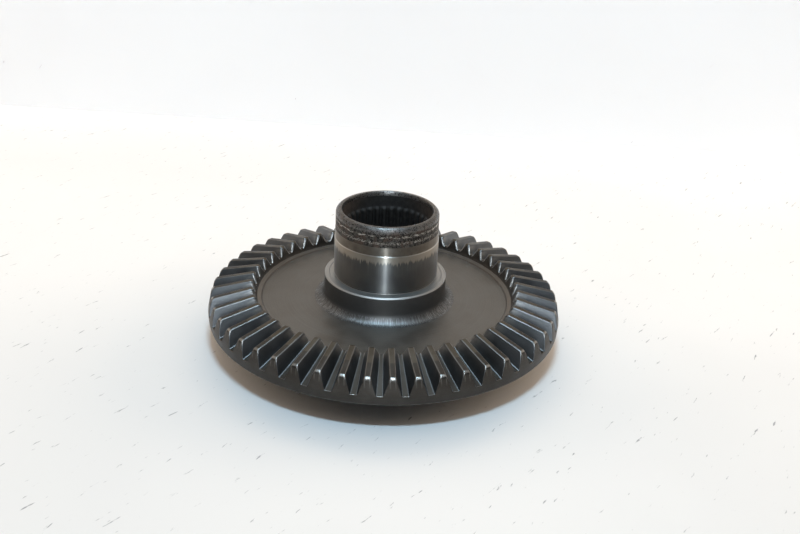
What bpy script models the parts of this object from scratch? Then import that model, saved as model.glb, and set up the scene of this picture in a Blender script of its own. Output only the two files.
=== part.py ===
"""Bevel crown wheel of a right-angle final drive, with the ball bearing on its back hub.

The wheel is one steel forging: a splined hub with a bearing journal at each end, a thin web
and a ring of straight bevel teeth that face up.  Under it sit a shim and a single-row ball
bearing: two rings, a pressed cage in two halves, its rivets and the balls.

The axis is +Z.  The bearing's lower side face is the plane z = 0.  Lengths are in metres.
"""
import math

import bmesh
import bpy
from mathutils import Matrix, Vector

MM = 0.001
GAP = 0.3 * MM          # clearance drawn between pieces that touch
FINE_GAP = 0.2 * MM     # the same inside the bearing, where the pieces are small

# Ball bearing, 45 x 75 x 10
BEARING_BORE_R = 22.5 * MM
BEARING_OUTER_R = 37.5 * MM
BEARING_WIDTH = 10.0 * MM
BALL_COUNT = 14
BALL_R = 3.57 * MM
PITCH_R = (BEARING_BORE_R + BEARING_OUTER_R) / 2
LAND_OFFSET = 2.7 * MM              # from the pitch circle to each ring's shoulder
RING_CHAMFER = 0.7 * MM
CAGE_SHEET = 0.7 * MM
CAGE_WIDTH = 3.2 * MM
RIVET_R = 0.5 * MM
RIVET_HEAD_R = 1.1 * MM
RIVET_HEAD_HEIGHT = 0.4 * MM
BEARING_MID_Z = BEARING_WIDTH / 2

# Shim between the bearing and the wheel
SHIM_THICKNESS = 0.5 * MM
SHIM_OUTER_R = 26.5 * MM
SHIM_BASE_Z = BEARING_WIDTH + GAP

# Hub and journals
BACK_END_Z = 0.5 * MM
BACK_JOURNAL_R = BEARING_BORE_R - GAP
BACK_SHOULDER_Z = SHIM_BASE_Z + SHIM_THICKNESS + GAP
BACK_SHOULDER_R = 26.6 * MM
COLLAR_R = 26.6 * MM
COLLAR_TOP_Z = 29.9 * MM
JOURNAL_R = 22.5 * MM
JOURNAL_TOP_Z = 47.2 * MM
SEAL_LAND_R = 22.3 * MM
SEAL_LAND_TOP_Z = 51.4 * MM
HUB_END_R = 22.2 * MM
HUB_TOP_Z = 59.7 * MM
UNDERCUT_DEPTH = 0.5 * MM
UNDERCUT_WIDTH = 0.8 * MM
RELIEF_R = 24.3 * MM                # the shoulder face is relieved out to here
RELIEF_DEPTH = 0.3 * MM
BORE_R = 19.15 * MM
BORE_LEAD = 1.8 * MM                # depth of the steep lead-in at the bore's mouth
HUB_END_EDGE = 1.2 * MM
EDGE = 0.6 * MM                     # turned edge chamfers

# Splines inside the bore
SPLINE_COUNT = 36
SPLINE_MINOR_R = 17.5 * MM
SPLINE_MAJOR_R = 18.6 * MM
SPLINE_LOW_Z = 17.0 * MM
SPLINE_TOP_Z = 53.2 * MM
SPLINE_SLOT_HALF = 0.8 * MM

# Web and the back of the rim
WEB_TOP_Z = 18.3 * MM
WEB_BACK_Z = 12.4 * MM
WEB_FILLET_R = 4.2 * MM
RIDGE_IN_R = 53.8 * MM
RIDGE_OUT_R = 54.1 * MM
RIDGE_Z = 18.85 * MM
RIM_BACK_Z = 9.5 * MM
RIM_BACK_IN_R = 62.0 * MM
RIM_EDGE_R = 76.9 * MM

# Teeth: each line below runs from the toe, near the axis, to the heel
TEETH = 48
TOE_TIP = (57.8 * MM, 25.1 * MM)
HEEL_TIP = (75.8 * MM, 20.85 * MM)
TOE_ROOT = (56.6 * MM, 21.0 * MM)
HEEL_ROOT = (77.1 * MM, 13.8 * MM)
TOE_FOOT = (55.95 * MM, 19.1 * MM)
HEEL_EDGE = (77.16 * MM, 13.55 * MM)
TOE_ROOT_HALF = 0.85 * MM           # half width of the flat between two teeth
HEEL_ROOT_HALF = 1.45 * MM
FLANK_ANGLE = math.radians(20)
FIRST_GAP_ANGLE = -math.pi / 2      # one tooth gap is centred on -Y

WHEEL_STEPS = TEETH
RING_STEPS = 48
RIVET_STEPS = 6


def clear_scene():
    for thing in list(bpy.data.objects):
        bpy.data.objects.remove(thing, do_unlink=True)


def new_collection(name):
    collection = bpy.data.collections.new(name)
    bpy.context.scene.collection.children.link(collection)
    return collection


def make_material(name, colour, roughness, metallic):
    material = bpy.data.materials.new(name)
    material.use_nodes = True
    shader = material.node_tree.nodes["Principled BSDF"]
    shader.inputs["Base Color"].default_value = (*colour, 1.0)
    shader.inputs["Roughness"].default_value = roughness
    shader.inputs["Metallic"].default_value = metallic
    return material


def add_object(name, mesh, collection, material=None):
    thing = bpy.data.objects.new(name, mesh)
    collection.objects.link(thing)
    if material:
        mesh.materials.append(material)
    return thing


def mesh_from(name, bm):
    mesh = bpy.data.meshes.new(name)
    bm.to_mesh(mesh)
    bm.free()
    return mesh


def arc(centre_r, centre_z, radius, start_deg, end_deg, segments):
    """Profile points on a circular arc, both ends included."""
    points = []
    for i in range(segments + 1):
        angle = math.radians(start_deg + (end_deg - start_deg) * i / segments)
        points.append((centre_r + radius * math.cos(angle), centre_z + radius * math.sin(angle)))
    return points


def turned_mesh(name, profile, steps):
    """A closed (radius, height) outline turned round +Z; it runs down its outer side first."""
    count = len(profile)
    mesh = bpy.data.meshes.new(name)
    edges = [(i, (i + 1) % count) for i in range(count)]
    mesh.from_pydata([(r, 0.0, z) for r, z in profile], edges, [])
    guide = bpy.data.objects.new(name + "_profile", mesh)
    bpy.context.scene.collection.objects.link(guide)
    screw = guide.modifiers.new("turn", "SCREW")
    screw.axis = "Z"
    screw.angle = 2 * math.pi
    screw.steps = steps
    screw.render_steps = steps
    screw.use_merge_vertices = True
    screw.merge_threshold = 0.00001
    shaped = bpy.data.meshes.new_from_object(guide.evaluated_get(bpy.context.evaluated_depsgraph_get()))
    shaped.name = name
    bpy.data.objects.remove(guide)
    return shaped


def shade(thing, limit_deg=35):
    thing.data.shade_smooth()
    thing.data.set_sharp_from_angle(angle=math.radians(limit_deg))


def cut(thing, cutter):
    boolean = thing.modifiers.new("cut_" + cutter.name, "BOOLEAN")
    boolean.operation = "DIFFERENCE"
    boolean.solver = "EXACT"
    boolean.object = cutter


def add_cutter(name, mesh, collection):
    cutter = add_object(name, mesh, collection)
    cutter.hide_render = True
    cutter.display_type = "WIRE"
    return cutter


def along(start, end, radius):
    """Height at a radius on the straight line through two profile points."""
    share = (radius - start[0]) / (end[0] - start[0])
    return start[1] + share * (end[1] - start[1])


# ---------------------------------------------------------------- crown wheel

def wheel_profile():
    upper_hub = [
        (BORE_R + EDGE, HUB_TOP_Z),
        (HUB_END_R - HUB_END_EDGE, HUB_TOP_Z),
        (HUB_END_R, HUB_TOP_Z - HUB_END_EDGE),
        (HUB_END_R, SEAL_LAND_TOP_Z),
        (SEAL_LAND_R, SEAL_LAND_TOP_Z - EDGE / 2),
        (SEAL_LAND_R, JOURNAL_TOP_Z),
        (JOURNAL_R, JOURNAL_TOP_Z - EDGE / 2),
        (JOURNAL_R, COLLAR_TOP_Z + UNDERCUT_WIDTH),
        (JOURNAL_R - UNDERCUT_DEPTH, COLLAR_TOP_Z + UNDERCUT_WIDTH / 2),
        (JOURNAL_R - UNDERCUT_DEPTH, COLLAR_TOP_Z - RELIEF_DEPTH),
        (RELIEF_R, COLLAR_TOP_Z - RELIEF_DEPTH),
        (RELIEF_R + RELIEF_DEPTH, COLLAR_TOP_Z),
        (COLLAR_R - EDGE, COLLAR_TOP_Z),
        (COLLAR_R, COLLAR_TOP_Z - EDGE),
    ]
    fillet = arc(COLLAR_R + WEB_FILLET_R, WEB_TOP_Z + WEB_FILLET_R, WEB_FILLET_R, 180, 270, 3)
    face = [
        (RIDGE_IN_R, WEB_TOP_Z),
        (RIDGE_OUT_R, RIDGE_Z),
        TOE_FOOT,
        TOE_TIP,
        HEEL_TIP,
        HEEL_EDGE,
        (RIM_EDGE_R, RIM_BACK_Z + EDGE / 2),
        (RIM_EDGE_R - EDGE, RIM_BACK_Z),
    ]
    back = [
        (RIM_BACK_IN_R, RIM_BACK_Z),
        (RIM_BACK_IN_R - 2 * MM, WEB_BACK_Z),
        (BACK_SHOULDER_R + 1 * MM, WEB_BACK_Z),
        (BACK_SHOULDER_R, BACK_SHOULDER_Z),
        (BACK_JOURNAL_R, BACK_SHOULDER_Z),
        (BACK_JOURNAL_R, BACK_END_Z + EDGE),
        (BACK_JOURNAL_R - EDGE, BACK_END_Z),
        (BORE_R + EDGE, BACK_END_Z),
    ]
    step = BORE_R - SPLINE_MINOR_R
    bore = [
        (BORE_R, BACK_END_Z + EDGE),
        (BORE_R, SPLINE_LOW_Z - step),
        (SPLINE_MINOR_R, SPLINE_LOW_Z),
        (SPLINE_MINOR_R, SPLINE_TOP_Z - step),
        (BORE_R, SPLINE_TOP_Z),
        (BORE_R, HUB_TOP_Z - BORE_LEAD),
    ]
    return upper_hub + fillet + face + back + bore


def gap_half_width(radius, height):
    share = (radius - TOE_ROOT[0]) / (HEEL_ROOT[0] - TOE_ROOT[0])
    root_half = TOE_ROOT_HALF + share * (HEEL_ROOT_HALF - TOE_ROOT_HALF)
    return root_half + (height - along(TOE_ROOT, HEEL_ROOT, radius)) * math.tan(FLANK_ANGLE)


def tooth_gaps_mesh():
    """One tapered bar for each gap: its floor is the root line and its sides are the flanks."""
    bm = bmesh.new()
    for i in range(TEETH):
        turn = Matrix.Rotation(FIRST_GAP_ANGLE + i * 2 * math.pi / TEETH, 3, "Z")
        for corner in bmesh.ops.create_cube(bm, size=2.0)["verts"]:
            radius = TOE_TIP[0] - 4 * MM if corner.co.x < 0 else HEEL_EDGE[0] + 3 * MM
            floor = along(TOE_ROOT, HEEL_ROOT, radius)
            height = floor if corner.co.z < 0 else floor + 8 * MM
            half = gap_half_width(radius, height)
            corner.co = turn @ Vector((radius, math.copysign(half, corner.co.y), height))
    return mesh_from("tooth_gaps", bm)


def spline_slots_mesh():
    bm = bmesh.new()
    low, high = SPLINE_LOW_Z - 2 * MM, SPLINE_TOP_Z + 1 * MM
    for i in range(SPLINE_COUNT):
        turn = Matrix.Rotation(i * 2 * math.pi / SPLINE_COUNT, 3, "Z")
        for corner in bmesh.ops.create_cube(bm, size=2.0)["verts"]:
            radius = SPLINE_MINOR_R - 1 * MM if corner.co.x < 0 else SPLINE_MAJOR_R
            half = math.copysign(SPLINE_SLOT_HALF, corner.co.y)
            height = low if corner.co.z < 0 else high
            corner.co = turn @ Vector((radius, half, height))
    return mesh_from("spline_slots", bm)


def make_crown_wheel(parts, cutters, material):
    mesh = turned_mesh("crown_wheel", wheel_profile(), WHEEL_STEPS)
    wheel = add_object("crown_wheel", mesh, parts, material)
    cut(wheel, add_cutter("tooth_gaps", tooth_gaps_mesh(), cutters))
    cut(wheel, add_cutter("spline_slots", spline_slots_mesh(), cutters))
    shade(wheel)


# ---------------------------------------------------------------- shim and bearing

def make_shim(parts, material):
    top = SHIM_BASE_Z + SHIM_THICKNESS
    profile = [
        (BEARING_BORE_R, top),
        (SHIM_OUTER_R, top),
        (SHIM_OUTER_R, SHIM_BASE_Z),
        (BEARING_BORE_R, SHIM_BASE_Z),
    ]
    shim = add_object("backing_shim", turned_mesh("backing_shim", profile, RING_STEPS), parts, material)
    shade(shim)


def groove(land_r, bulge_deg):
    """Ball groove across a ring's land, from the upper edge down; bulge_deg points into the ring."""
    radius = BALL_R + FINE_GAP
    half_deg = math.degrees(math.acos(abs(land_r - PITCH_R) / radius))
    return arc(PITCH_R, BEARING_MID_Z, radius, bulge_deg - half_deg, bulge_deg + half_deg, 5)


def make_bearing_rings(parts, material):
    top, c = BEARING_WIDTH, RING_CHAMFER
    inner_land = PITCH_R - LAND_OFFSET
    inner = [
        (BEARING_BORE_R + c, top),
        (inner_land - c / 2, top),
        (inner_land, top - c / 2),
        *groove(inner_land, 180),
        (inner_land, c / 2),
        (inner_land - c / 2, 0.0),
        (BEARING_BORE_R + c, 0.0),
        (BEARING_BORE_R, c),
        (BEARING_BORE_R, top - c),
    ]
    outer_land = PITCH_R + LAND_OFFSET
    outer = [
        (outer_land + c / 2, top),
        (BEARING_OUTER_R - c, top),
        (BEARING_OUTER_R, top - c),
        (BEARING_OUTER_R, c),
        (BEARING_OUTER_R - c, 0.0),
        (outer_land + c / 2, 0.0),
        (outer_land, c / 2),
        *groove(outer_land, 0),
        (outer_land, top - c / 2),
    ]
    for name, profile in (("bearing_inner_ring", inner), ("bearing_outer_ring", outer)):
        shade(add_object(name, turned_mesh(name, profile, RING_STEPS), parts, material))


def pitch_point(index, offset=0.0):
    """Centre of ball number index; an offset of 0.5 is midway to the next ball."""
    angle = FIRST_GAP_ANGLE + (index + offset) * 2 * math.pi / BALL_COUNT
    return Vector((PITCH_R * math.cos(angle), PITCH_R * math.sin(angle), BEARING_MID_Z))


def make_balls(parts, material):
    bm = bmesh.new()
    bmesh.ops.create_icosphere(bm, subdivisions=2, radius=BALL_R)
    mesh = mesh_from("ball", bm)
    mesh.shade_smooth()
    mesh.materials.append(material)
    for i in range(BALL_COUNT):
        add_object(f"ball_{i + 1:02d}", mesh, parts).location = pitch_point(i)


def cage_lift(angle):
    """Height of a cage sheet's ball side above the ball plane, at an angle from a ball's centre."""
    flat = FINE_GAP / 2
    along_pitch = PITCH_R * angle
    pocket = (BALL_R + FINE_GAP) ** 2 - along_pitch ** 2
    return max(flat, math.sqrt(pocket)) if pocket > 0 else flat


def cage_sheet_mesh(name, side):
    """Half of the ribbon cage: a flat ring that arches over every ball."""
    per_ball = 12
    steps = BALL_COUNT * per_ball
    bm = bmesh.new()
    bmesh.ops.create_grid(bm, x_segments=steps, y_segments=1, size=0.5)
    pitch = 2 * math.pi / BALL_COUNT
    for vert in bm.verts:
        turn = (vert.co.x + 0.5) * 2 * math.pi
        nearest = (turn + pitch / 2) % pitch - pitch / 2
        radius = PITCH_R - side * vert.co.y * CAGE_WIDTH
        angle = FIRST_GAP_ANGLE + turn
        lift = side * cage_lift(nearest)
        vert.co = (radius * math.cos(angle), radius * math.sin(angle), BEARING_MID_Z + lift)
    bmesh.ops.remove_doubles(bm, verts=bm.verts, dist=0.00001)
    return mesh_from(name, bm)


def rivet_holes_mesh():
    bm = bmesh.new()
    for i in range(BALL_COUNT):
        place = Matrix.Translation(pitch_point(i, 0.5))
        bmesh.ops.create_cone(bm, cap_ends=True, segments=RIVET_STEPS, radius1=RIVET_R + FINE_GAP,
                              radius2=RIVET_R + FINE_GAP, depth=4 * CAGE_SHEET, matrix=place)
    return mesh_from("rivet_holes", bm)


def make_cage(parts, cutters, material):
    holes = add_cutter("rivet_holes", rivet_holes_mesh(), cutters)
    for name, side in (("cage_upper", 1), ("cage_lower", -1)):
        sheet = add_object(name, cage_sheet_mesh(name, side), parts, material)
        thicken = sheet.modifiers.new("sheet", "SOLIDIFY")
        thicken.thickness = CAGE_SHEET
        thicken.offset = 1.0
        thicken.use_even_offset = True
        cut(sheet, holes)
        shade(sheet, 40)


def make_rivets(parts, material):
    shank_z = FINE_GAP / 2 + CAGE_SHEET + FINE_GAP
    head_z = shank_z + RIVET_HEAD_HEIGHT
    profile = [
        (0.0, head_z),
        (RIVET_HEAD_R * 0.6, head_z),
        (RIVET_HEAD_R, shank_z),
        (RIVET_R, shank_z),
        (RIVET_R, -shank_z),
        (RIVET_HEAD_R, -shank_z),
        (RIVET_HEAD_R * 0.6, -head_z),
        (0.0, -head_z),
    ]
    mesh = turned_mesh("rivet", profile, RIVET_STEPS)
    mesh.materials.append(material)
    for i in range(BALL_COUNT):
        add_object(f"rivet_{i + 1:02d}", mesh, parts).location = pitch_point(i, 0.5)


def main():
    clear_scene()
    parts = new_collection("bevel_crown_wheel")
    cutters = new_collection("cutters")
    forged = make_material("forged_steel", (0.075, 0.070, 0.065), 0.45, 0.9)
    shim_steel = make_material("shim_steel", (0.35, 0.35, 0.36), 0.35, 1.0)
    bearing_steel = make_material("bearing_steel", (0.55, 0.56, 0.58), 0.22, 1.0)
    cage_steel = make_material("cage_steel", (0.38, 0.37, 0.35), 0.4, 1.0)
    make_crown_wheel(parts, cutters, forged)
    make_shim(parts, shim_steel)
    make_bearing_rings(parts, bearing_steel)
    make_balls(parts, bearing_steel)
    make_cage(parts, cutters, cage_steel)
    make_rivets(parts, cage_steel)


main()
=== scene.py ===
"""Looks for the bevel crown wheel and the ball bearing on its back hub.

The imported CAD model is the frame.  Every CAD node is replaced by a finer mesh of the same size:
the wheel gets rounded teeth, corners and edges, the bearing gets round rings, balls and domed
rivets.  All materials are procedural and live in the wheel's own coordinates.

The axis is +Z and one tooth gap is centred on -Y.  Lengths are in metres.
"""
import math

import bpy
from mathutils import Matrix, Vector

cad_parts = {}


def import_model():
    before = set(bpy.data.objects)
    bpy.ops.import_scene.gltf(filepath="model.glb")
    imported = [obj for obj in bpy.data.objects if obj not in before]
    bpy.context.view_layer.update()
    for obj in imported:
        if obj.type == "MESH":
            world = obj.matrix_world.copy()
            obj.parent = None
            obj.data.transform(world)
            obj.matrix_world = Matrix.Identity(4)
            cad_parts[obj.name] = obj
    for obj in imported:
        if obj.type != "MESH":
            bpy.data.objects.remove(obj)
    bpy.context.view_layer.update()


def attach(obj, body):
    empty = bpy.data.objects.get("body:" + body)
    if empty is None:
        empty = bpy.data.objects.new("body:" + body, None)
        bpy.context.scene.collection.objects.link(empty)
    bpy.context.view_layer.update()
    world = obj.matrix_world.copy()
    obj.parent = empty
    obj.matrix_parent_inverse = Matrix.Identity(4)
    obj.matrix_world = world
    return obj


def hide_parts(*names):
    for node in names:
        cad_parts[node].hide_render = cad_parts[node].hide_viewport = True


MM = 0.001
TURN = 2 * math.pi

# ---------------------------------------------------------------- sizes shared with the CAD

GAP = 0.3 * MM
FINE_GAP = 0.2 * MM

BEARING_BORE_R = 22.5 * MM
BEARING_OUTER_R = 37.5 * MM
BEARING_WIDTH = 10.0 * MM
BEARING_MID_Z = BEARING_WIDTH / 2
BALL_COUNT = 14
BALL_R = 3.57 * MM
PITCH_R = (BEARING_BORE_R + BEARING_OUTER_R) / 2
LAND_OFFSET = 2.7 * MM
RING_CHAMFER = 0.7 * MM
CAGE_SHEET = 0.7 * MM
CAGE_WIDTH = 3.2 * MM
RIVET_R = 0.5 * MM
RIVET_HEAD_R = 1.1 * MM
RIVET_HEAD_HEIGHT = 0.4 * MM

SHIM_THICKNESS = 0.5 * MM
SHIM_OUTER_R = 26.5 * MM
SHIM_BASE_Z = BEARING_WIDTH + GAP

BACK_END_Z = 0.5 * MM
BACK_JOURNAL_R = BEARING_BORE_R - GAP
BACK_SHOULDER_Z = SHIM_BASE_Z + SHIM_THICKNESS + GAP
BACK_SHOULDER_R = 26.6 * MM
COLLAR_R = 26.6 * MM
COLLAR_TOP_Z = 29.9 * MM
JOURNAL_R = 22.5 * MM
JOURNAL_TOP_Z = 47.2 * MM
SEAL_LAND_R = 22.3 * MM
SEAL_LAND_TOP_Z = 51.4 * MM
HUB_END_R = 22.2 * MM
HUB_TOP_Z = 59.7 * MM
UNDERCUT_DEPTH = 0.5 * MM
UNDERCUT_WIDTH = 0.8 * MM
RELIEF_R = 24.3 * MM
RELIEF_DEPTH = 0.3 * MM
BORE_R = 19.15 * MM
BORE_LEAD = 1.8 * MM
HUB_END_EDGE = 1.2 * MM
EDGE = 0.6 * MM

SPLINE_COUNT = 36
SPLINE_MINOR_R = 17.5 * MM
SPLINE_MAJOR_R = 18.6 * MM
SPLINE_LOW_Z = 17.0 * MM
SPLINE_TOP_Z = 53.2 * MM
SPLINE_STEP = BORE_R - SPLINE_MINOR_R

WEB_TOP_Z = 18.3 * MM
WEB_BACK_Z = 12.4 * MM
WEB_FILLET_R = 4.2 * MM
RIDGE_IN_R = 53.8 * MM
RIDGE_OUT_R = 54.1 * MM
RIDGE_Z = 18.85 * MM
RIM_BACK_Z = 9.5 * MM
RIM_BACK_IN_R = 62.0 * MM
RIM_EDGE_R = 76.9 * MM

TEETH = 48
TOE_TIP = (57.8 * MM, 25.1 * MM)
HEEL_TIP = (75.8 * MM, 20.85 * MM)
TOE_ROOT = (56.6 * MM, 21.0 * MM)
HEEL_ROOT = (77.1 * MM, 13.8 * MM)
TOE_FOOT = (55.95 * MM, 19.1 * MM)
HEEL_EDGE = (77.16 * MM, 13.55 * MM)
TOE_ROOT_HALF = 0.85 * MM
HEEL_ROOT_HALF = 1.45 * MM
FLANK_ANGLE = math.radians(20)
FIRST_GAP_ANGLE = -math.pi / 2

# ---------------------------------------------------------------- sizes of the fine detail

ROOT_FILLET = 0.5 * MM          # between a gap's floor and its flanks
TIP_ROUND = 0.55 * MM           # along the top edges of a tooth
FLANK_CROWN = 0.07 * MM         # how far a flank bulges at mid height
TOE_ROUND = (0.6 * MM, 1.5 * MM)      # corner radius at the toe: at the gap floor, at the tip
HEEL_ROUND = (0.3 * MM, 2.1 * MM)     # the same at the heel
HALF_POINTS = 12                # columns from the middle of a gap to the middle of a tooth
TOOTH_COLUMNS = TEETH * 2 * HALF_POINTS
COARSE = 4                      # tooth columns to one column of the hub and web
HUB_COLUMNS = TOOTH_COLUMNS // COARSE
RING_COLUMNS = 192
TOE_EDGE_ROUND = 0.55 * MM      # the upright edges between a toe's face and its flanks
# wear and painted highlight by row: over the toe's corner, and a painted glint with wear over the heel's;
# the flanks' tops have their own
TOE_WEAR_AND_HIGHLIGHT = {2: 0.4, 3: 0.8, 4: 0.8, 5: 0.4}
HEEL_WEAR_AND_GLINT = {10: 0.3, 11: 0.8, 12: 0.9}
TIP_EDGE_WEAR_AND_HIGHLIGHT = 0.25
# the rim's lower edge: rubbed wear and a painted highlight line
RIM_EDGE_WEAR_AND_HIGHLIGHT = 0.6
RIM_CORNER_ROWS = (1, 2, 3)     # of the underside: the rim's outer lower corner
RUBBED_ROUGHNESS = 0.34
TOE_SHADE_R = 67.0 * MM               # the toe half of the teeth's tops is lighter

POCKET_CROWN = 0.6              # how much a cage pocket follows the ball's round across the ribbon

# ---------------------------------------------------------------- camera and studio

CAMERA_DISTANCE = 0.43845
CAMERA_HEIGHT = 0.2416
CAMERA_LENS = 49.96             # millimetres, on the sensor below
CAMERA_SENSOR = 36.0
CAMERA_YAW = 0.0144
CAMERA_PITCH = -0.4455
CAMERA_ROLL = 0.0454
CAMERA_SWING = math.radians(0.278)

FLOOR_Z = -0.02 * MM
WALL_Y = 0.2815
WALL_TURN = math.radians(-4.0)
WALL_HEIGHT = 0.13
WALL_GLOW = 0.44
WALL_GLOW_COLOUR = (1.0, 0.96, 0.94, 1.0)
LIGHT_TARGET = (0.0, 0.0, 0.02)
OVERHEAD_POWER = 7.6
OVERHEAD_COLOUR = (0.54, 0.80, 1.0)
FLASH_COLOUR = (0.80, 0.91, 1.0)
FLASH_POWER = 9.5                       # a narrow strip
WINDOW_POWER = 0.8                      # a wide soft light round it
# place and power of the warm lights behind the wheel, left and right of it
ROOM_LIGHTS = {
    "room_back": ((0.0, 0.95, 0.85), 6.5),
    "room_left": ((-0.95, 0.55, 0.40), 6.5),
    "room_right": ((0.95, 0.55, 0.40), 9.5),
}
ROOM_LIGHT_SIZE = (1.4, 0.3)
ROOM_LIGHT_COLOUR = (1.0, 0.77, 0.56)
ROOM_BRIGHT = (0.78, 0.68, 0.58)        # behind the wheel
ROOM_SIDE = (0.46, 0.40, 0.34)
ROOM_DARK = (0.05, 0.055, 0.06)         # on the camera's side


# ---------------------------------------------------------------- outlines

def lerp(start, end, share):
    return start + (end - start) * share


def between(start, end, share):
    return (lerp(start[0], end[0], share), lerp(start[1], end[1], share))


def rounded_corner(before, corner, after, radius, segments):
    """The corner's (radius, height) points when it is rounded; it stays one point at radius 0."""
    corner = Vector(corner)
    back, ahead = Vector(before) - corner, Vector(after) - corner
    turn = math.pi - back.angle(ahead)
    if radius <= 0 or turn < 0.01:
        return [tuple(corner)]
    reach = radius * math.tan(turn / 2)
    reach = min(reach, 0.499 * back.length, 0.499 * ahead.length)
    start, end = corner + back.normalized() * reach, corner + ahead.normalized() * reach
    points = []
    for i in range(segments + 1):
        share = i / segments
        weight = math.cos(turn / 2)
        parts = ((1 - share) ** 2, 2 * share * (1 - share) * weight, share ** 2)
        total = sum(parts)
        point = (start * parts[0] + corner * parts[1] + end * parts[2]) / total
        points.append(tuple(point))
    return points


def rounded_outline(corners, closed=True):
    """Points of an outline; each corner is (radius, height, rounding, segments, material)."""
    points, materials = [], []
    count = len(corners)
    for i, (r, z, rounding, segments, material) in enumerate(corners):
        ends = not closed and i in (0, count - 1)
        before, after = corners[i - 1], corners[(i + 1) % count]
        arc = [(r, z)] if ends else rounded_corner(before[:2], (r, z), after[:2], rounding, segments)
        points += arc
        materials += [material] * len(arc)
    return points, materials


def polar(radius, angle, height):
    return (radius * math.cos(angle), radius * math.sin(angle), height)


# ---------------------------------------------------------------- meshes from rings

class RingMesh:
    """Builds a mesh of rings of vertices round the axis, joined one to the next.

    Each vertex has a weight from 0 to 1 for wear and painted highlight, which the materials read to lighten
    rubbed edges and paint highlights along edges.
    """

    def __init__(self):
        self.points, self.wear, self.faces, self.slots = [], [], [], []

    def ring(self, points, wear=None):
        first = len(self.points)
        self.points += points
        self.wear += wear or [0.0] * len(points)
        return list(range(first, len(self.points)))

    def join(self, ring, following, slots):
        """Quads between two rings of the same count; slots is one material or a repeated list."""
        count = len(ring)
        slots = slots if isinstance(slots, list) else [slots]
        for i in range(count):
            j = (i + 1) % count
            self.faces.append((ring[i], following[i], following[j], ring[j]))
            self.slots.append(slots[i % len(slots)])

    def join_coarse(self, coarse, fine, slot, fine_first):
        """Faces between a ring and one with more vertices; fine_first says which comes first."""
        ratio = len(fine) // len(coarse)
        count = len(coarse)
        for i in range(count):
            edge = [fine[(i * ratio + k) % len(fine)] for k in range(ratio + 1)]
            face = (coarse[(i + 1) % count], coarse[i], *edge)
            self.faces.append(face[::-1] if fine_first else face)
            self.slots.append(slot)

    def build(self, name, materials):
        mesh = bpy.data.meshes.new(name)
        mesh.from_pydata(self.points, [], self.faces)
        for material in materials:
            mesh.materials.append(material)
        mesh.polygons.foreach_set("material_index", self.slots)
        mesh.attributes.new("wear", "FLOAT", "POINT").data.foreach_set("value", self.wear)
        mesh.shade_smooth()
        mesh.update()
        return mesh


def even_ring(point, count):
    radius, height = point
    return [polar(radius, FIRST_GAP_ANGLE + TURN * i / count, height) for i in range(count)]


def lathe(name, outline, materials):
    """A closed (radius, height) outline turned round the axis; it runs clockwise."""
    points, slots = outline
    rings = RingMesh()
    made = [rings.ring(even_ring(point, RING_COLUMNS)) for point in points]
    for i, ring in enumerate(made):
        rings.join(ring, made[(i + 1) % len(made)], slots[i])
    return rings.build(name, materials)


def add_piece(name, mesh, body, slot, *nodes):
    """A shown piece that rides on a body and stands for CAD nodes."""
    piece = bpy.data.objects.new(name, mesh)
    bpy.context.scene.collection.objects.link(piece)
    even = piece.modifiers.new("even_shading", "WEIGHTED_NORMAL")
    even.weight = 90
    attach(piece, body)
    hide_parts(*nodes)
    return piece


# ---------------------------------------------------------------- teeth

def tooth_section(height):
    """Half of a gap's section, from the middle of the gap to the middle of a tooth.

    Each point is (elevation, sideways): elevation is 0 at the gap's floor and 1 at the tip, and
    sideways is how far the point lies from the plane flank, towards the tooth.  The first and
    the last point lie on the middle lines, and have no sideways.
    """
    slope = math.tan(FLANK_ANGLE)
    turn = math.pi / 2 - FLANK_ANGLE
    root_reach, tip_reach = ROOT_FILLET * math.tan(turn / 2), TIP_ROUND * math.tan(turn / 2)
    points = [(0.0, None)]
    for i in range(4):
        angle = turn * i / 3
        up = ROOT_FILLET * (1 - math.cos(angle))
        points.append((up / height, ROOT_FILLET * math.sin(angle) - root_reach - up * slope))
    low, high = points[-1][0], 1 - tip_reach * math.cos(FLANK_ANGLE) / height
    for i in range(1, 4):
        points.append((lerp(low, high, i / 4), -FLANK_CROWN * math.sin(math.pi * i / 4)))
    for i in range(4):
        angle = turn * (1 - i / 3)
        down = TIP_ROUND * (1 - math.cos(angle))
        points.append((1 - down / height, tip_reach - TIP_ROUND * math.sin(angle) + down * slope))
    points.append((1.0, None))
    return points


def gap_half(radius, height):
    """Half width of the gap between two plane flanks, at a radius and a height."""
    share = (radius - TOE_ROOT[0]) / (HEEL_ROOT[0] - TOE_ROOT[0])
    floor = lerp(TOE_ROOT[1], HEEL_ROOT[1], share)
    return lerp(TOE_ROOT_HALF, HEEL_ROOT_HALF, share) + (height - floor) * math.tan(FLANK_ANGLE)


def tooth_path(elevation):
    """(radius, height) points from the toe's foot over the tooth, or along the gap, to the heel."""
    toe = between(TOE_ROOT, TOE_TIP, elevation)
    heel = between(HEEL_ROOT, HEEL_TIP, elevation)
    toe_arc = rounded_corner(TOE_FOOT, toe, heel, lerp(*TOE_ROUND, elevation), 4)
    heel_arc = rounded_corner(toe, heel, HEEL_EDGE, lerp(*HEEL_ROUND, elevation ** 3), 6)
    flank = [between(toe_arc[-1], heel_arc[0], i / 4) for i in range(1, 4)]
    ends = between(TOE_FOOT, toe_arc[0], 0.5), between(heel_arc[-1], HEEL_EDGE, 0.5)
    return [ends[0], *toe_arc, *flank, *heel_arc, ends[1]]


def share_along(start, end, radius):
    """How far a radius lies between two points' radii, from 0 to 1."""
    return min(max((radius - start[0]) / (end[0] - start[0]), 0.0), 1.0)


def toe_edge_inset(past_toe):
    """How far a flank turns in towards the tooth at a distance from the toe's face."""
    short = TOE_EDGE_ROUND - min(max(past_toe, 0.0), TOE_EDGE_ROUND)
    return TOE_EDGE_ROUND - math.sqrt(TOE_EDGE_ROUND ** 2 - short ** 2)


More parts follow.
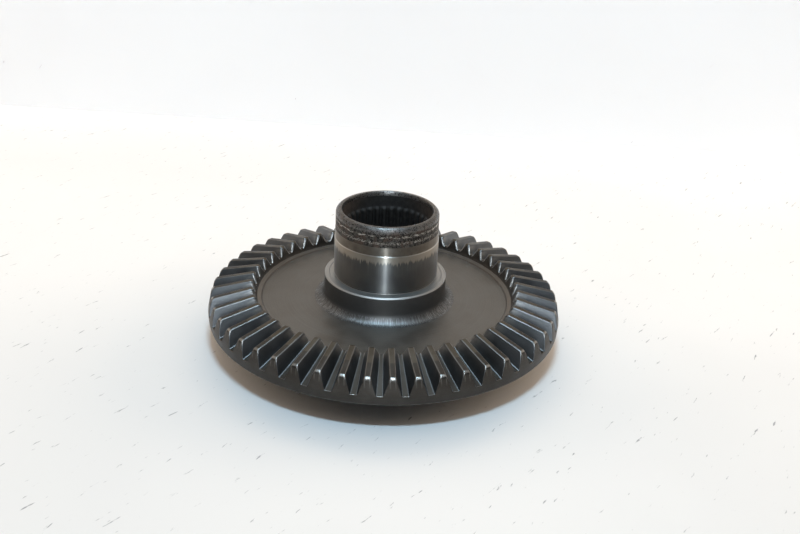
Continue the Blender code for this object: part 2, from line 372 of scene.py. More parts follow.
def tooth_wear(row, steps, rows):
    """Wear and painted highlight of a vertex, by its row from the toe and its columns from the middle of
    the gap.
    """
    on_floor, on_tip, on_tip_edge = steps < 2, steps >= 8, 8 < steps < 11
    wear = TIP_EDGE_WEAR_AND_HIGHLIGHT if on_tip_edge and 0 < row < rows - 1 else 0.0
    if not on_floor and not on_tip:
        wear = TOE_WEAR_AND_HIGHLIGHT.get(row, 0.0)
    if on_floor or on_tip:
        wear = max(wear, HEEL_WEAR_AND_GLINT.get(row, 0.0))
    return wear


def tooth_column(column):
    """(radius, angle, height) of one column of vertices; column 0 is the middle of a gap."""
    steps = abs(column)
    floor = tooth_path(0.0)
    rows = []
    for row, (floor_radius, _) in enumerate(floor):
        share = share_along(TOE_ROOT, HEEL_ROOT, floor_radius)
        height = lerp(TOE_TIP[1] - TOE_ROOT[1], HEEL_TIP[1] - HEEL_ROOT[1], share)
        elevation, sideways = tooth_section(height)[steps]
        radius, z = tooth_path(elevation)[row]
        toe, heel = between(TOE_ROOT, TOE_TIP, elevation), between(HEEL_ROOT, HEEL_TIP, elevation)
        even = math.pi / TEETH * steps / HALF_POINTS
        if sideways is None:
            angle = even
        else:
            on_flank = between(toe, heel, share_along(toe, heel, radius))
            sideways += toe_edge_inset(radius - toe[0]) * min(1.0, 4 * elevation)
            angle = math.asin((gap_half(*on_flank) + sideways) / radius)
        if row in (0, len(floor) - 1):
            angle = lerp(even, angle, 0.5)
        rows.append((radius, math.copysign(angle, column), z))
    return rows


def tooth_rings(rings):
    """Rings of vertices over the teeth, from just above the toe's foot to the heel."""
    order = [*range(0, HALF_POINTS), *range(-HALF_POINTS, 0)]
    columns = [tooth_column(k) for k in order]
    rows = len(columns[0])
    made = []
    for row in range(rows):
        points, wear = [], []
        for tooth in range(TEETH):
            gap_angle = FIRST_GAP_ANGLE + tooth * TURN / TEETH
            for k, column in zip(order, columns):
                radius, angle, z = column[row]
                # the columns after the tooth's middle belong to the next gap
                turned = gap_angle + angle + (TURN / TEETH if k < 0 else 0.0)
                points.append(polar(radius, turned, z))
                wear.append(tooth_wear(row, abs(k), rows))
        made.append(rings.ring(points, wear))
    return made


# ---------------------------------------------------------------- crown wheel

TURNED, FLANK, ROOT, WEB, GROUND, FACE, SEAL, WORN, BORE, BACK = range(10)


def hub_outline():
    """The wheel's top side, from the bore's upper edge out to the toe's foot."""
    corners = [
        (BORE_R, HUB_TOP_Z - BORE_LEAD, 0.3 * MM, 3, WORN),
        (BORE_R + EDGE, HUB_TOP_Z, 0.3 * MM, 4, WORN),
        (HUB_END_R - HUB_END_EDGE, HUB_TOP_Z, 1.4 * MM, 5, WORN),
        (HUB_END_R, HUB_TOP_Z - HUB_END_EDGE, 1.4 * MM, 5, WORN),
        (HUB_END_R, SEAL_LAND_TOP_Z, 0.15 * MM, 2, WORN),
        (SEAL_LAND_R, SEAL_LAND_TOP_Z - EDGE / 2, 0.15 * MM, 2, SEAL),
        (SEAL_LAND_R, JOURNAL_TOP_Z, 0.1 * MM, 2, GROUND),
        (JOURNAL_R, JOURNAL_TOP_Z - EDGE / 2, 0.3 * MM, 3, GROUND),
        (JOURNAL_R, COLLAR_TOP_Z + UNDERCUT_WIDTH, 0.15 * MM, 2, GROUND),
        (JOURNAL_R - UNDERCUT_DEPTH, COLLAR_TOP_Z + UNDERCUT_WIDTH / 2, 0.3 * MM, 3, GROUND),
        (JOURNAL_R - UNDERCUT_DEPTH, COLLAR_TOP_Z - RELIEF_DEPTH, 0.2 * MM, 3, FACE),
        (RELIEF_R, COLLAR_TOP_Z - RELIEF_DEPTH, 0.1 * MM, 2, FACE),
        (RELIEF_R + RELIEF_DEPTH, COLLAR_TOP_Z, 0.1 * MM, 2, FACE),
        (COLLAR_R - EDGE, COLLAR_TOP_Z, 0.2 * MM, 3, FACE),
        (COLLAR_R, COLLAR_TOP_Z - EDGE, 0.3 * MM, 3, WEB),
        (COLLAR_R, WEB_TOP_Z, WEB_FILLET_R, 14, WEB),
        (RIDGE_IN_R, WEB_TOP_Z, 0.3 * MM, 3, WEB),
        (RIDGE_OUT_R, RIDGE_Z, 0.2 * MM, 3, WEB),
        (*TOE_FOOT, 0.0, 1, WEB),
    ]
    return rounded_outline(corners, closed=False)


def back_outline():
    """The wheel's underside, from the heel's edge to the bore's lower edge."""
    corners = [
        (*HEEL_EDGE, 0.0, 1, TURNED),
        (RIM_EDGE_R, RIM_BACK_Z + EDGE / 2, 0.5 * MM, 3, TURNED),
        (RIM_EDGE_R - EDGE, RIM_BACK_Z, 0.4 * MM, 3, BACK),
        (RIM_BACK_IN_R, RIM_BACK_Z, 0.8 * MM, 4, BACK),
        (RIM_BACK_IN_R - 2 * MM, WEB_BACK_Z, 1.5 * MM, 5, BACK),
        (BACK_SHOULDER_R + 1 * MM, WEB_BACK_Z, 0.6 * MM, 4, BACK),
        (BACK_SHOULDER_R, BACK_SHOULDER_Z, 0.2 * MM, 3, GROUND),
        (BACK_JOURNAL_R, BACK_SHOULDER_Z, 0.1 * MM, 2, GROUND),
        (BACK_JOURNAL_R, BACK_END_Z + EDGE, 0.3 * MM, 3, GROUND),
        (BACK_JOURNAL_R - EDGE, BACK_END_Z, 0.3 * MM, 3, BACK),
        (BORE_R + EDGE, BACK_END_Z, 0.3 * MM, 3, BACK),
        (BORE_R, BACK_END_Z + EDGE, 0.2 * MM, 3, BORE),
    ]
    return rounded_outline(corners, closed=False)


SPLINE_ANGLES = (0.0, 2.3, 2.6, 3.8, 5.0, 6.2, 7.4, 7.7)    # degrees from the middle of a slot
SLOT_COLUMNS = (0, 1, 7)


def spline_rings(rings):
    """Rings up the bore through the splines, which run out in a chamfer at both ends."""
    slot_drop = BORE_R - SPLINE_MAJOR_R
    levels = [
        (SPLINE_LOW_Z - SPLINE_STEP, 0.0, 0.0),
        (SPLINE_LOW_Z - SPLINE_STEP + slot_drop, slot_drop, slot_drop),
        (SPLINE_LOW_Z, slot_drop, SPLINE_STEP),
        (SPLINE_TOP_Z - SPLINE_STEP, slot_drop, SPLINE_STEP),
        (SPLINE_TOP_Z - slot_drop, slot_drop, slot_drop),
        (SPLINE_TOP_Z, 0.0, 0.0),
    ]
    made = []
    for height, slot_depth, land_depth in levels:
        points = []
        for spline in range(SPLINE_COUNT):
            for column, degrees in enumerate(SPLINE_ANGLES):
                depth = slot_depth if column in SLOT_COLUMNS else land_depth
                angle = FIRST_GAP_ANGLE + TURN * spline / SPLINE_COUNT + math.radians(degrees)
                points.append(polar(BORE_R - depth, angle, height))
        made.append(rings.ring(points))
    return made


def crown_wheel_mesh(materials):
    rings = RingMesh()
    hub, hub_slots = hub_outline()
    hub[-1] = between(hub[-2], TOE_FOOT, 0.8)
    hub_made = [rings.ring(even_ring(point, HUB_COLUMNS)) for point in hub]
    for i in range(len(hub_made) - 1):
        rings.join(hub_made[i], hub_made[i + 1], hub_slots[i])

    foot = rings.ring(even_ring(TOE_FOOT, TOOTH_COLUMNS))
    rings.join_coarse(hub_made[-1], foot, WEB, fine_first=False)
    teeth = tooth_rings(rings)
    heel = rings.ring(even_ring(HEEL_EDGE, TOOTH_COLUMNS))
    across = [FLANK if 1 <= min(k, 2 * HALF_POINTS - 1 - k) < 10 else TURNED
              for k in range(2 * HALF_POINTS)]
    across[0] = across[-1] = ROOT
    for row, (ring, following) in enumerate(zip([foot, *teeth], [*teeth, heel])):
        rings.join(ring, following, across if 2 <= row <= len(teeth) - 4 else TURNED)

    back, back_slots = back_outline()
    # the first point is the heel's edge; the rim's lower edge after it is rubbed and carries a painted
    # highlight line
    back_made = [rings.ring(even_ring(point, HUB_COLUMNS),
                            [RIM_EDGE_WEAR_AND_HIGHLIGHT * (i in RIM_CORNER_ROWS)] * HUB_COLUMNS)
                 for i, point in enumerate(back[1:])]
    rings.join_coarse(back_made[0], heel, TURNED, fine_first=True)
    for i in range(len(back_made) - 1):
        rings.join(back_made[i], back_made[i + 1], back_slots[i + 1])

    bore = [back_made[-1], *spline_rings(rings), hub_made[0]]
    for ring, following in zip(bore, bore[1:]):
        rings.join(ring, following, BORE)
    return rings.build("crown_wheel_fine", materials)


# ---------------------------------------------------------------- shim and bearing

def shim_mesh(materials):
    top = SHIM_BASE_Z + SHIM_THICKNESS
    corners = [
        (BEARING_BORE_R, top, 0.1 * MM, 2, 0),
        (SHIM_OUTER_R, top, 0.1 * MM, 2, 0),
        (SHIM_OUTER_R, SHIM_BASE_Z, 0.1 * MM, 2, 0),
        (BEARING_BORE_R, SHIM_BASE_Z, 0.1 * MM, 2, 0),
    ]
    return lathe("backing_shim_fine", rounded_outline(corners), materials)


def groove(land_r):
    """Ball groove across a ring's land; it runs down on the inner ring and up on the outer."""
    radius = BALL_R + FINE_GAP
    half = math.acos(abs(land_r - PITCH_R) / radius)
    side = 1 if land_r > PITCH_R else -1
    points = []
    for i in range(15):
        angle = half * (1 - i / 7)
        points.append((PITCH_R + side * radius * math.cos(angle),
                       BEARING_MID_Z - side * radius * math.sin(angle)))
    return points


def bearing_ring_mesh(name, bore_r, outer_r, outwards, materials):
    """A bearing ring; its groove looks out on the inner ring and in on the outer ring."""
    top, large, small = BEARING_WIDTH, RING_CHAMFER, RING_CHAMFER / 2
    inside, outside = (large, small) if outwards else (small, large)
    above = [
        (bore_r, top - inside, 0.3 * MM, 3, 0),
        (bore_r + inside, top, 0.3 * MM, 3, 0),
        (outer_r - outside, top, 0.3 * MM, 3, 0),
        (outer_r, top - outside, 0.3 * MM, 3, 0),
    ]
    below = [
        (outer_r, outside, 0.3 * MM, 3, 0),
        (outer_r - outside, 0.0, 0.3 * MM, 3, 0),
        (bore_r + inside, 0.0, 0.3 * MM, 3, 0),
        (bore_r, inside, 0.3 * MM, 3, 0),
    ]
    land = [(*point, 0.0, 1, 0) for point in groove(outer_r if outwards else bore_r)]
    corners = [*above, *land, *below] if outwards else [*above, *below, *land]
    return lathe(name, rounded_outline(corners), materials)


def pitch_point(index, offset=0.0):
    """Centre of ball number index; an offset of 0.5 is midway to the next ball."""
    angle = FIRST_GAP_ANGLE + (index + offset) * TURN / BALL_COUNT
    return Vector(polar(PITCH_R, angle, BEARING_MID_Z))


def spun_mesh(name, place, profile, columns, material):
    """A small solid turned about its own upright axis; the profile runs from pole to pole."""
    rings = RingMesh()
    poles = [rings.ring([tuple(place + Vector((0, 0, z)))])[0] for _, z in (profile[0], profile[-1])]
    made = [rings.ring([tuple(place + Vector(polar(r, TURN * i / columns, z))) for i in range(columns)])
            for r, z in profile[1:-1]]
    for ring, following in zip(made, made[1:]):
        rings.join(ring, following, 0)
    for i in range(columns):
        j = (i + 1) % columns
        rings.faces += [(poles[0], made[0][i], made[0][j]), (poles[1], made[-1][j], made[-1][i])]
        rings.slots += [0, 0]
    return rings.build(name, [material])


def ball_profile(rows=24):
    return [(BALL_R * math.sin(math.pi * i / rows), BALL_R * math.cos(math.pi * i / rows))
            for i in range(rows + 1)]


def rivet_profile(rows=6):
    """A shank with a domed head at each end."""
    seat = FINE_GAP / 2 + CAGE_SHEET + FINE_GAP
    dome = [(RIVET_HEAD_R * math.sin(math.pi / 2 * i / rows),
             seat + RIVET_HEAD_HEIGHT * math.cos(math.pi / 2 * i / rows)) for i in range(rows + 1)]
    upper = [*dome, (RIVET_R, seat)]
    return upper + [(r, -z) for r, z in reversed(upper)]


def pocket_section(level, across):
    """(sideways, lift) of one side of the cage sheet, over a ball and along to the next one."""
    steps, flats = 20, 4
    flat = FINE_GAP / 2 + level
    arch = math.sqrt((BALL_R + FINE_GAP + level) ** 2 - (POCKET_CROWN * across) ** 2)
    low = math.asin(flat / arch)
    section = []
    for i in range(steps + 1):
        angle = lerp(low, math.pi - low, i / steps)
        section.append((-arch * math.cos(angle), arch * math.sin(angle)))
    pitch = TURN * PITCH_R / BALL_COUNT
    reach = arch * math.cos(low)
    return section + [(lerp(reach, pitch - reach, i / flats), flat) for i in range(1, flats)]


def cage_mesh(name, side, material):
    """Half of the ribbon cage: a flat ring that arches over every ball."""
    widths = [CAGE_WIDTH * (k / 6 - 0.5) for k in range(7)]
    lines = [(0.0, across) for across in widths] + [(CAGE_SHEET, across) for across in reversed(widths)]
    rings = RingMesh()
    made = []
    for level, across in lines:
        section = pocket_section(level, across)
        points = []
        for ball in range(BALL_COUNT):
            for sideways, lift in section:
                angle = FIRST_GAP_ANGLE + ball * TURN / BALL_COUNT + sideways / PITCH_R
                points.append(polar(PITCH_R + across, angle, BEARING_MID_Z + side * lift))
        made.append(rings.ring(points))
    for i, ring in enumerate(made):
        following = made[(i + 1) % len(made)]
        rings.join(*((following, ring) if side > 0 else (ring, following)), 0)
    return rings.build(name, [material])


# ---------------------------------------------------------------- materials

class Surface:
    """A procedural material.  Its texture coordinates are the wheel's own, in millimetres."""

    def __init__(self, name):
        self.material = bpy.data.materials.new(name)
        self.material.use_nodes = True
        self.tree = self.material.node_tree
        self.shader = self.tree.nodes["Principled BSDF"]
        place = self.node("ShaderNodeTexCoord").outputs["Object"]
        self.mm = self.vector("MULTIPLY", place, (1000, 1000, 1000))
        parts = self.node("ShaderNodeSeparateXYZ", {0: self.mm})
        self.z = parts.outputs["Z"]
        flat = self.node("ShaderNodeCombineXYZ", {0: parts.outputs["X"], 1: parts.outputs["Y"]}).outputs[0]
        self.radius = self.node("ShaderNodeVectorMath", {0: flat}, operation="LENGTH").outputs["Value"]
        self.around = self.vector("NORMALIZE", flat)

    def node(self, kind, inputs=None, **settings):
        made = self.tree.nodes.new(kind)
        for name, value in settings.items():
            setattr(made, name, value)
        for key, value in (inputs or {}).items():
            self.feed(made.inputs[key], value)
        return made

    def feed(self, socket, value):
        if isinstance(value, bpy.types.NodeSocket):
            self.tree.links.new(value, socket)
        elif socket.type == "RGBA" and len(value) == 3:
            socket.default_value = (*value, 1.0)
        else:
            socket.default_value = value

    def vector(self, operation, a, b=(0, 0, 0)):
        return self.node("ShaderNodeVectorMath", {0: a, 1: b}, operation=operation).outputs[0]

    def math(self, operation, a, b=0.0):
        return self.node("ShaderNodeMath", {0: a, 1: b}, operation=operation).outputs[0]

    def noise(self, vector, scale, detail=2.0, roughness=0.5):
        """Noise from 0 to 1; a scale of 1 has spots about a millimetre across."""
        inputs = {"Vector": vector, "Scale": scale, "Detail": detail, "Roughness": roughness}
        return self.node("ShaderNodeTexNoise", inputs).outputs[0]

    def stretched(self, turn_scale, radius_scale, z_scale):
        """Coordinates with their own scale round the axis, out from it and along it."""
        turned = self.vector("MULTIPLY", self.around, (turn_scale, turn_scale, 0))
        out = self.math("MULTIPLY", self.radius, radius_scale)
        along = self.math("MULTIPLY", self.z, z_scale)
        # radius and height share the third coordinate
        both = self.math("ADD", out, along)
        return self.vector("ADD", turned, self.node("ShaderNodeCombineXYZ", {2: both}).outputs[0])

    def step(self, value, start, end):
        """0 below start and 1 above end, or the other way round if end is lower."""
        inputs = {"Value": value, "From Min": start, "From Max": end}
        return self.node("ShaderNodeMapRange", inputs, interpolation_type="SMOOTHSTEP").outputs[0]

    def band(self, value, low, high, soft):
        """1 between low and high, falling to 0 over the soft distance."""
        return self.math("MULTIPLY", self.step(value, low - soft, low),
                         self.step(value, high + soft, high))

    def mix(self, factor, a, b):
        made = self.node("ShaderNodeMix", {0: factor}, data_type="RGBA")
        self.feed(made.inputs[6], a)
        self.feed(made.inputs[7], b)
        return made.outputs[2]

    def blend(self, factor, a, b):
        """The same for plain numbers."""
        return self.node("ShaderNodeMix", {0: factor, 2: a, 3: b}).outputs[0]

    def finish(self, colour, roughness, height=None, distance=0.00002, metallic=1.0):
        self.feed(self.shader.inputs["Base Color"], colour)
        self.feed(self.shader.inputs["Roughness"], roughness)
        self.shader.inputs["Metallic"].default_value = metallic
        if height is not None:
            bump = self.node("ShaderNodeBump", {"Height": height, "Distance": distance, "Strength": 1.0})
            self.feed(self.shader.inputs["Normal"], bump.outputs[0])
        return self.material

    def brush_round(self, amount):
        """Stretches highlights across grooves that run round the axis."""
        self.shader.inputs["Anisotropic"].default_value = amount
        self.shader.inputs["Anisotropic Rotation"].default_value = 0.25
        tangent = self.node("ShaderNodeTangent", direction_type="RADIAL", axis="Z")
        self.feed(self.shader.inputs["Tangent"], tangent.outputs[0])


def add_wear(surface, colour, roughness, bright, amount=0.8):
    """Rubbed edges, partly painted highlights and glints: the mesh says where they are, and noise breaks
    them up.
    """
    where = surface.node("ShaderNodeAttribute", attribute_name="wear").outputs["Fac"]
    broken = surface.blend(surface.step(surface.noise(surface.mm, 0.5, 2), 0.35, 0.6), 0.6, 1.0)
    share = surface.math("MULTIPLY", surface.math("MULTIPLY", where, broken), amount)
    return surface.mix(share, colour, bright), surface.blend(share, roughness, RUBBED_ROUGHNESS)


def forged_material(name, dark, light, roughness, rings=0.25, wear=0.8, fillet=False, toe_shade=None):
    """Dark heat-treated steel with mottling, fine grain and faint turning rings.

    Between the toes and TOE_SHADE_R it is multiplied by the toe shade, if one is given.
    """
    s = Surface(name)
    mottle = s.noise(s.mm, 0.09, 4, 0.6)
    grain = s.noise(s.mm, 2.4, 3, 0.7)
    turned = s.noise(s.stretched(0.4, 1.0, 1.0), 2.2, 3, 0.7)
    colour = s.mix(s.step(mottle, 0.3, 0.7), dark, light)
    fine = s.math("ADD", s.math("MULTIPLY", grain, 0.5), s.math("MULTIPLY", turned, rings))
    colour = s.mix(s.step(fine, 0.25, 0.6), s.mix(0.22, colour, (0, 0, 0)), colour)
    rough = s.blend(s.step(mottle, 0.35, 0.65), roughness - 0.03, roughness + 0.03)
    height = s.math("ADD", grain, s.math("MULTIPLY", turned, 3 * rings))
    if fillet:
        colour = s.mix(s.step(s.radius, RIDGE_OUT_R / MM - 0.1, RIDGE_OUT_R / MM + 0.2), colour,
                       (0.175, 0.155, 0.135))
        # a darker band over the ridge's inner slope
        ridge_dark_band = s.band(s.radius, RIDGE_IN_R / MM - 0.1, RIDGE_OUT_R / MM - 0.1, 0.4)
        colour = s.mix(s.math("MULTIPLY", ridge_dark_band, 0.5), colour, (0.07, 0.055, 0.045))
        colour, rough, height = sparkling_fillet(s, colour, rough, height)
    if toe_shade:
        toe_half = s.band(s.radius, TOE_TIP[0] / MM, TOE_SHADE_R / MM, 0.5)
        colour = s.vector("MULTIPLY", colour, s.mix(toe_half, (1, 1, 1), toe_shade))
    # lighter edges: rubbed wear and painted highlights
    if wear:
        colour, rough = add_wear(s, colour, rough, (0.52, 0.50, 0.47), wear)
    return s.finish(colour, rough, height)


def sparkling_fillet(s, colour, rough, height):
    """Short bright radial marks where the web runs up to the collar, whose upright side has painted shade.
    """
    inner, outer = COLLAR_R / MM, (COLLAR_R + WEB_FILLET_R) / MM
    # painted shade: the collar's upright side and the fillet's first millimetre are darker grey
    colour = s.mix(s.step(s.radius, inner + 1.0, inner + 0.2), colour, (0.125, 0.121, 0.118))
    zone = s.band(s.radius, inner + 0.5, outer - 0.3, 0.4)
    streak = s.noise(s.stretched(100, 1.2, 1.2), 1.0, 3, 0.65)
    marks = s.math("MULTIPLY", s.step(streak, 0.45, 0.65), zone)
    colour = s.mix(zone, colour, s.mix(marks, (0.10, 0.097, 0.092), (0.25, 0.255, 0.265)))
    rough = s.blend(marks, rough, 0.36)
    return colour, rough, s.math("ADD", height, s.math("MULTIPLY", s.math("MULTIPLY", streak, zone), 3.0))


def ground_material():
    """The journal: ground round the axis, polished by use, with press marks below its top."""
    s = Surface("ground_journal")
    top, foot = JOURNAL_TOP_Z / MM, COLLAR_TOP_Z / MM
    patches = s.noise(s.mm, 0.10, 3, 0.5)
    colour = s.mix(s.step(patches, 0.35, 0.65), (0.120, 0.119, 0.117), (0.148, 0.145, 0.140))
    ragged = s.math("MULTIPLY", s.noise(s.stretched(30, 0.0, 0.02), 1.0, 3, 0.65), 7.0)
    band = s.step(s.math("ADD", s.z, ragged), top - 0.4, top + 0.8)
    colour = s.mix(s.math("MULTIPLY", band, 0.85), colour, (0.40, 0.36, 0.305))
    colour = s.mix(s.step(s.z, top - 0.45, top - 0.3), colour, (0.50, 0.48, 0.45))
    scratch = s.noise(s.stretched(70, 0.0, 0.06), 1.0, 3, 0.65)
    marks = s.math("MULTIPLY", s.step(scratch, 0.50, 0.72), s.step(s.z, foot + 4, top - 2))
    colour = s.mix(s.math("MULTIPLY", marks, 0.15), colour, (0.50, 0.47, 0.43))
    s.brush_round(1.0)
    return s.finish(colour, s.blend(patches, 0.33, 0.38))


def shoulder_material():
    """The collar's top face, faced bright where the bearing sits."""
    s = Surface("faced_shoulder")
    rings = s.noise(s.stretched(0.4, 1.0, 0.0), 6.0, 3, 0.7)
    colour = s.mix(s.step(rings, 0.3, 0.7), (0.30, 0.295, 0.285), (0.42, 0.41, 0.395))
    return s.finish(colour, 0.46, rings, 0.000006)


def seal_material():
    """The seal's running land: satin, slightly brown."""
    s = Surface("seal_land")
    stain = s.noise(s.mm, 0.25, 4, 0.6)
    colour = s.mix(s.step(stain, 0.3, 0.7), (0.145, 0.128, 0.107), (0.195, 0.173, 0.147))
    s.brush_round(1.0)
    return s.finish(colour, s.blend(stain, 0.33, 0.38))


def worn_material():
    """The hub's bare end: dark rust scale, two bands of bright specks and a rubbed top edge."""
    s = Surface("corroded_end")
    scale = s.noise(s.mm, 0.8, 5, 0.7)
    pits = s.noise(s.mm, 2.0, 3, 0.6)
    colour = s.mix(s.step(scale, 0.42, 0.60), (0.030, 0.027, 0.025), (0.135, 0.123, 0.110))
    colour = s.mix(s.step(s.noise(s.mm, 0.25, 3), 0.5, 0.62), colour, (0.10, 0.075, 0.062))
    low, high = SEAL_LAND_TOP_Z / MM + 1.3, HUB_TOP_Z / MM - 4.2
    rubbed = s.step(s.z, high + 1.3, high + 2.6)
    colour = s.mix(s.math("MULTIPLY", rubbed, 0.45), colour, (0.22, 0.22, 0.22))
    mouth = s.step(s.radius, BORE_R / MM + 1.0, BORE_R / MM + 0.7)
    colour = s.mix(s.math("MULTIPLY", mouth, 0.7), colour, (0.27, 0.26, 0.25))
    colour = s.mix(s.step(pits, 0.47, 0.38), colour, (0.012, 0.011, 0.010))
    dashes = s.noise(s.stretched(9, 0.0, 1.6), 1.0, 3, 0.7)
    dots = s.noise(s.stretched(34, 0.0, 2.2), 1.0, 3, 0.7)
    upper = s.math("MULTIPLY", s.step(dashes, 0.50, 0.58), s.band(s.z, high, high + 0.6, 0.3))
    lower = s.math("MULTIPLY", s.step(dots, 0.48, 0.60), s.band(s.z, low, low + 0.7, 0.4))
    colour = s.mix(s.math("MAXIMUM", upper, s.math("MULTIPLY", lower, 0.8)), colour, (0.46, 0.42, 0.37))
    rough = s.blend(s.math("MAXIMUM", upper, rubbed), 0.52, 0.32)
    height = s.math("ADD", scale, s.step(pits, 0.38, 0.50))
    return s.finish(colour, rough, s.math("MULTIPLY", height, s.blend(rubbed, 1.0, 0.4)), 0.00012)


def bore_material():
    """Dark oily bore: almost no shine."""
    s = Surface("oily_bore")
    film = s.noise(s.mm, 0.5, 4, 0.6)
    colour = s.mix(s.step(film, 0.3, 0.7), (0.040, 0.036, 0.034), (0.062, 0.056, 0.052))
    s.shader.inputs["Specular IOR Level"].default_value = 0.12
    return s.finish(colour, 0.6, s.noise(s.mm, 1.6, 3), 0.00002, metallic=0.2)


def bearing_material():
    """Polished rings and balls with faint grinding lines and an oil film."""
    s = Surface("bearing_steel_polished")
    grind = s.noise(s.stretched(0.5, 3.0, 3.0), 2.0, 3, 0.7)
    oil = s.noise(s.mm, 0.35, 3, 0.6)
    colour = s.mix(s.step(oil, 0.35, 0.7), (0.56, 0.57, 0.58), (0.46, 0.43, 0.38))
    rough = s.blend(s.step(grind, 0.3, 0.7), 0.14, 0.24)
    return s.finish(colour, rough, grind, 0.000003)


def cage_material():
    """Pressed strip steel: drawn marks, matter than the rings."""
    s = Surface("cage_steel_pressed")
    drawn = s.noise(s.mm, 1.4, 4, 0.7)
    colour = s.mix(s.step(drawn, 0.3, 0.7), (0.30, 0.28, 0.25), (0.46, 0.44, 0.41))
    rough = s.blend(s.step(drawn, 0.35, 0.65), 0.34, 0.46)
    return s.finish(colour, rough, drawn, 0.00001)


def shim_material():
    s = Surface("shim_steel_rolled")
    rolled = s.noise(s.vector("MULTIPLY", s.mm, (0.2, 3.0, 1.0)), 1.0, 3, 0.7)
    colour = s.mix(s.step(rolled, 0.3, 0.7), (0.36, 0.36, 0.37), (0.50, 0.50, 0.51))
    return s.finish(colour, s.blend(rolled, 0.28, 0.42), rolled, 0.000005)


# ---------------------------------------------------------------- studio

def paint_material(name, glow=0.0):
    """Worn white paint with short dark nicks."""
    s = Surface(name)
    cloud = s.noise(s.mm, 0.006, 3, 0.5)
    colour = s.mix(s.step(cloud, 0.3, 0.7), (0.725, 0.725, 0.725), (0.76, 0.76, 0.76))
    for turn, stretch in ((0.5, (0.9, 0.16, 0.16)), (-0.9, (0.14, 0.8, 0.8))):
        turned = s.node("ShaderNodeVectorRotate", {"Vector": s.mm, "Angle": turn}).outputs[0]
        nicks = s.noise(s.vector("MULTIPLY", turned, stretch), 0.6, 3, 0.6)
        colour = s.mix(s.math("MULTIPLY", s.step(nicks, 0.67, 0.74), 0.75), colour, (0.20, 0.21, 0.23))
    s.shader.inputs["Emission Color"].default_value = WALL_GLOW_COLOUR
    s.shader.inputs["Emission Strength"].default_value = glow
    s.shader.inputs["Specular IOR Level"].default_value = 0.2
    return s.finish(colour, 0.6, metallic=0.0)


def add_plane(name, width, depth, place, turn, material):
    """A flat backdrop; its near edge is centred on the place."""
    half = width / 2
    mesh = bpy.data.meshes.new(name)
    mesh.from_pydata([(-half, 0, 0), (half, 0, 0), (half, depth, 0), (-half, depth, 0)], [], [(0, 1, 2, 3)])
    mesh.materials.append(material)
    plane = bpy.data.objects.new(name, mesh)
    plane.location = place
    plane.rotation_euler = turn
    bpy.context.scene.collection.objects.link(plane)
    return plane


def add_area_light(name, place, target, size, power, colour):
    light = bpy.data.lights.new(name, "AREA")
    light.shape = "RECTANGLE"
    light.size, light.size_y = size
    light.energy = power
    light.color = colour
    lamp = bpy.data.objects.new(name, light)
    lamp.location = place
    lamp.rotation_euler = (Vector(place) - Vector(target)).to_track_quat("Z", "Y").to_euler()
    bpy.context.scene.collection.objects.link(lamp)
    return lamp


def make_world():
    """A warm room, bright behind and at the sides and dark on the camera's side."""
    world = bpy.data.worlds.new("room")
    world.use_nodes = True
    tree = world.node_tree
    direction = tree.nodes.new("ShaderNodeTexCoord").outputs["Generated"]
    parts = tree.nodes.new("ShaderNodeSeparateXYZ")
    tree.links.new(direction, parts.inputs[0])
    place = tree.nodes.new("ShaderNodeMapRange")
    place.inputs["From Min"].default_value = -1.0
    tree.links.new(parts.outputs["Y"], place.inputs["Value"])
    ramp = tree.nodes.new("ShaderNodeValToRGB")
    stops = ramp.color_ramp.elements
    stops.new(0.5)
    for stop, position, colour in zip(stops, (0.2, 0.5, 0.75), (ROOM_DARK, ROOM_SIDE, ROOM_BRIGHT)):
        stop.position, stop.color = position, (*colour, 1)
    tree.links.new(place.outputs[0], ramp.inputs[0])
    tree.links.new(ramp.outputs[0], tree.nodes["Background"].inputs["Color"])
    bpy.context.scene.world = world


def make_camera():
    """At the photograph's angle: a slightly rolled view down on the wheel."""
    data = bpy.data.cameras.new("camera")
    data.sensor_width = CAMERA_SENSOR
    data.lens = CAMERA_LENS
    data.clip_start = 0.01
    camera = bpy.data.objects.new("camera", data)
    forward = Vector((math.sin(CAMERA_YAW) * math.cos(CAMERA_PITCH),
                      math.cos(CAMERA_YAW) * math.cos(CAMERA_PITCH), math.sin(CAMERA_PITCH)))
    level = Vector((math.cos(CAMERA_YAW), -math.sin(CAMERA_YAW), 0.0))
    upright = level.cross(forward)
    roll = Matrix.Rotation(CAMERA_ROLL, 3, -forward)
    right, up = roll @ level, roll @ upright
    matrix = Matrix((right, up, -forward)).transposed().to_4x4()
    matrix.translation = Vector((0.0, -CAMERA_DISTANCE, CAMERA_HEIGHT))
    camera.matrix_world = Matrix.Rotation(CAMERA_SWING, 4, "Z") @ matrix
    bpy.context.scene.collection.objects.link(camera)
    bpy.context.scene.camera = camera


# ---------------------------------------------------------------- the object

def make_wheel():
    materials = [
        forged_material("turned_blank", (0.060, 0.054, 0.048), (0.080, 0.073, 0.066), 0.44, rings=0.35,
                        toe_shade=(1.55, 1.50, 1.36)),
        forged_material("cut_flank", (0.135, 0.139, 0.143), (0.170, 0.174, 0.179), 0.43, rings=0.05),
        forged_material("cut_root", (0.070, 0.061, 0.052), (0.092, 0.081, 0.070), 0.46, rings=0.05),
        forged_material("turned_web", (0.180, 0.168, 0.152), (0.212, 0.199, 0.181), 0.48, rings=0.3,
                        fillet=True),
        ground_material(),
        shoulder_material(),
        seal_material(),
        worn_material(),
        bore_material(),
        forged_material("wheel_back", (0.10, 0.096, 0.09), (0.15, 0.142, 0.132), 0.46, rings=0.5),
    ]
    add_piece("crown_wheel_fine", crown_wheel_mesh(materials), "wheel", "forged_steel", "crown_wheel")
    add_piece("backing_shim_fine", shim_mesh([shim_material()]), "wheel", "shim_steel", "backing_shim")


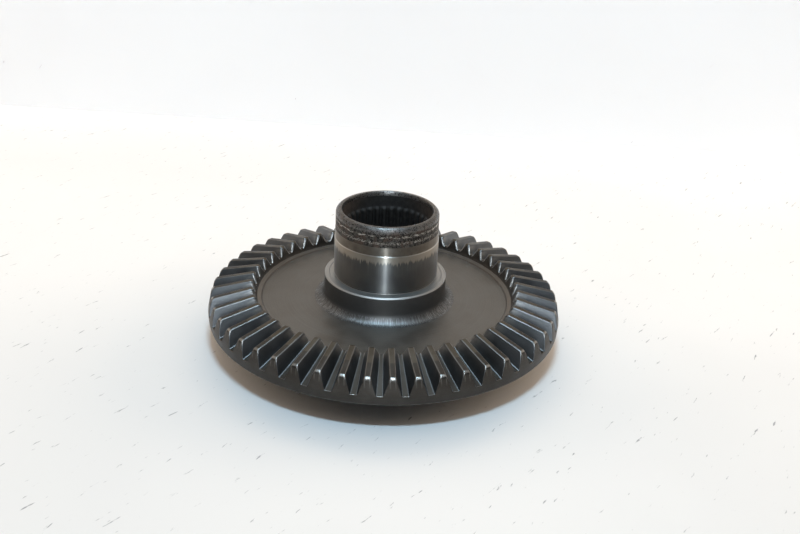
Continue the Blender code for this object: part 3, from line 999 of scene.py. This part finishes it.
def make_bearing():
    steel, pressed = bearing_material(), cage_material()
    inner = bearing_ring_mesh("inner_ring_fine", BEARING_BORE_R, PITCH_R - LAND_OFFSET, True, [steel])
    outer = bearing_ring_mesh("outer_ring_fine", PITCH_R + LAND_OFFSET, BEARING_OUTER_R, False, [steel])
    add_piece("inner_ring_fine", inner, "wheel", "bearing_steel", "bearing_inner_ring")
    add_piece("outer_ring_fine", outer, "outer_ring", "bearing_steel", "bearing_outer_ring")
    for side, which in ((1, "upper"), (-1, "lower")):
        add_piece(f"cage_{which}_fine", cage_mesh(f"cage_{which}", side, pressed), "ball_train",
                  "cage_steel", f"cage_{which}")
    for i in range(BALL_COUNT):
        number = f"{i + 1:02d}"
        ball = spun_mesh("ball", pitch_point(i), ball_profile(), 40, steel)
        rivet = spun_mesh("rivet", pitch_point(i, 0.5), rivet_profile(), 20, pressed)
        add_piece(f"ball_{number}_fine", ball, "ball_train", "bearing_steel", f"ball_{number}")
        add_piece(f"rivet_{number}_fine", rivet, "ball_train", "cage_steel", f"rivet_{number}")


def make_studio():
    upright = (math.radians(90), 0.0, WALL_TURN)
    add_plane("floor", 6.0, 6.0, (0.0, -3.0, FLOOR_Z), (0.0, 0.0, 0.0), paint_material("table_paint"))
    wall = add_plane("back_wall", 6.0, WALL_HEIGHT, (0.0, WALL_Y, FLOOR_Z), upright,
                     paint_material("wall_paint", WALL_GLOW))
    wall.visible_shadow = False
    add_area_light("overhead", (0.0, -0.17, 1.1), LIGHT_TARGET, (0.25, 0.10), OVERHEAD_POWER,
                   OVERHEAD_COLOUR)
    # two lights by the camera only make highlights, and three round the back only light the table
    flash = add_area_light("flash", (0.0, -0.9, 0.72), LIGHT_TARGET, (0.05, 1.3), FLASH_POWER,
                           FLASH_COLOUR)
    window = add_area_light("window", (0.0, -1.2, 0.45), LIGHT_TARGET, (0.6, 0.8), WINDOW_POWER,
                            FLASH_COLOUR)
    flash.visible_diffuse = window.visible_diffuse = False
    for name, (place, power) in ROOM_LIGHTS.items():
        room = add_area_light(name, place, LIGHT_TARGET, ROOM_LIGHT_SIZE, power, ROOM_LIGHT_COLOUR)
        room.visible_glossy = False
    make_world()
    make_camera()


def main():
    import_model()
    make_wheel()
    make_bearing()
    make_studio()
    bpy.context.scene.view_settings.view_transform = "Standard"


main()
